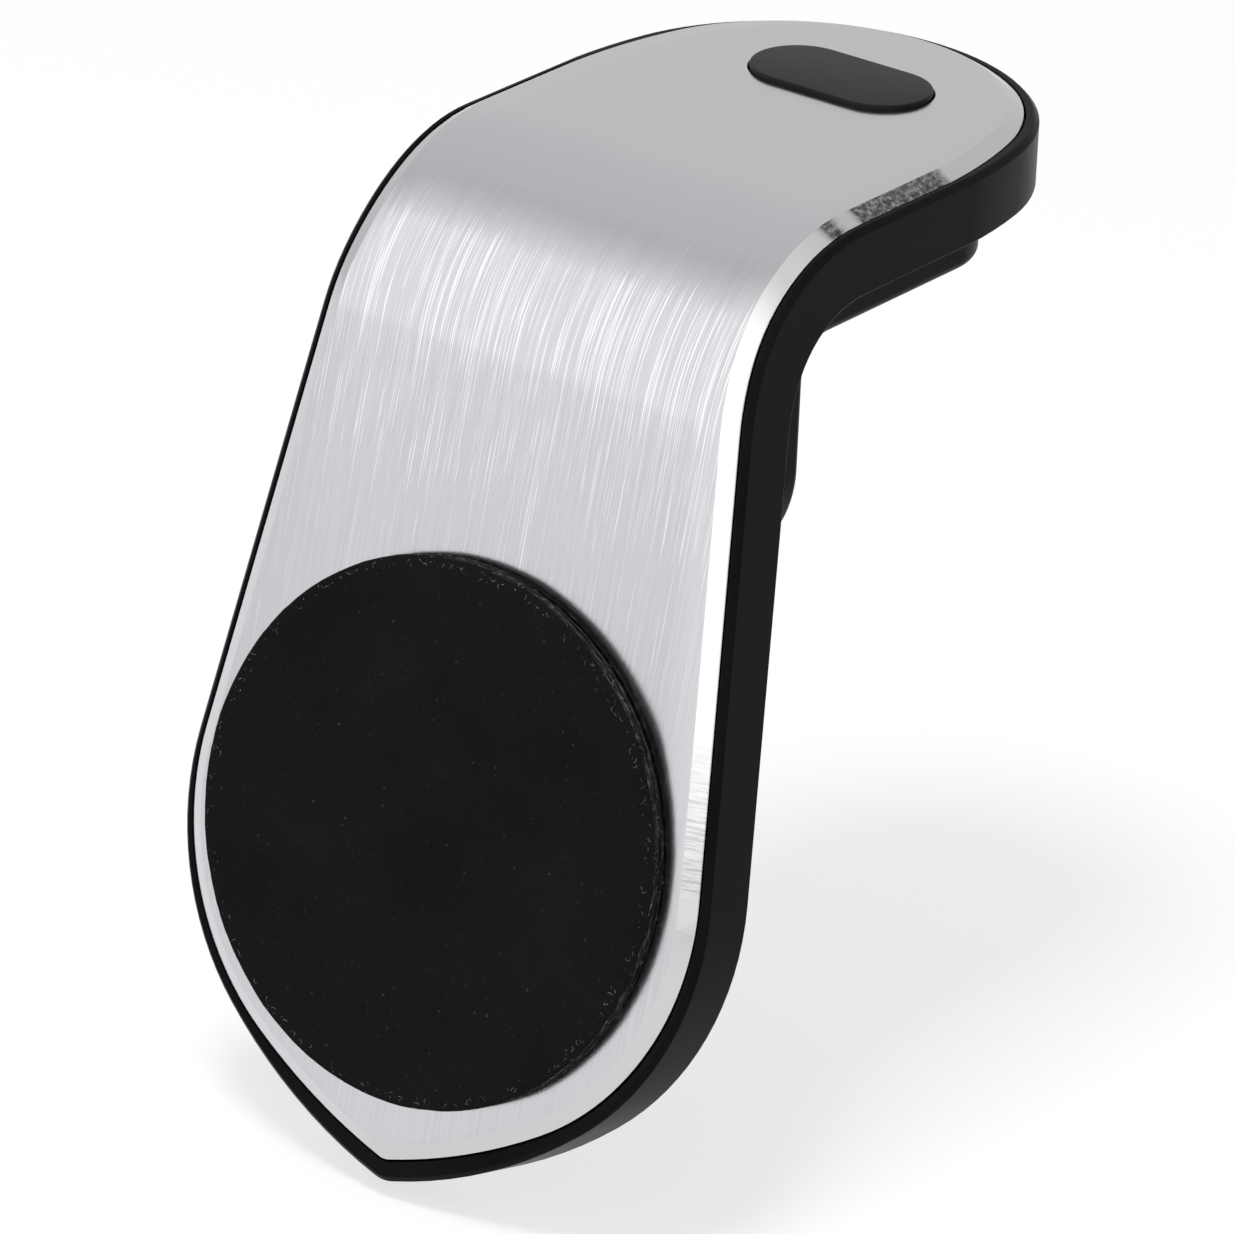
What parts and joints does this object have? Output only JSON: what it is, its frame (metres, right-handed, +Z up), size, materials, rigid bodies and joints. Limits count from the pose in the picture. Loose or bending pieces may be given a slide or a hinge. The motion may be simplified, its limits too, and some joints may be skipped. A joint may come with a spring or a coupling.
{
  "type": "car phone mount",
  "caption": "L-shaped magnetic phone mount for a car air vent: brushed metal face with a round pad, black rimmed body and a sprung peg clip that grips a vent blade.",
  "frame": {"origin": "middle of the slot that the vent blade goes into, between the grip under the short arm and the grip on the jaw", "axes": "+Y along the short arm towards its rounded end and the car's vent, +Z up and square to the short arm's face, +X across; the long arm with the phone pad hangs down at the -Y side and leans forward"},
  "size_m": [0.042, 0.0574, 0.0654],
  "materials": {
    "brushed_aluminium": "brushed, polished bevel",
    "black_plastic": "satin black moulding",
    "black_rubber": "matt black rubber",
    "grip_rubber": "matt dark grey silicone",
    "adhesive_film": "black acrylic foam film",
    "magnet_nickel": "nickel plated",
    "zinc_steel": "bright zinc plated",
    "pin_steel": "bright steel",
    "spring_steel": "drawn spring wire",
    "white_nylon": "natural nylon"
  },
  "bodies": {
    "mount_body": {"face_plate": "brushed_aluminium", "plate_adhesive": "adhesive_film", "front_frame": "black_plastic", "rear_cover": "black_plastic", "magnet_carrier": "black_plastic", "magnets": "magnet_nickel", "back_iron": "zinc_steel", "pad_adhesive": "adhesive_film", "pad_backing": "black_plastic", "contact_pad": "black_rubber", "thumb_pad": "black_rubber", "arm_grip": "grip_rubber", "cover_screws": "zinc_steel", "hinge_pin": "pin_steel", "pin_ring": "spring_steel", "hinge_washers": "white_nylon", "spring_sleeve": "white_nylon", "clip_spring": "spring_steel"},
    "clip": {"clip_lever": "black_plastic", "jaw_grip": "grip_rubber"}
  },
  "joints": [
    {"name": "clip_hinge", "type": "hinge", "parent": "mount_body", "child": "clip", "pos_m": [0, -0.0136, -0.0029], "axis": [-1, 0, 0], "range_deg": [0, 22], "stiffness_Nm_per_rad": 0.15, "springref_deg": -34.38, "deforming": ["clip_spring"]}
  ]
}
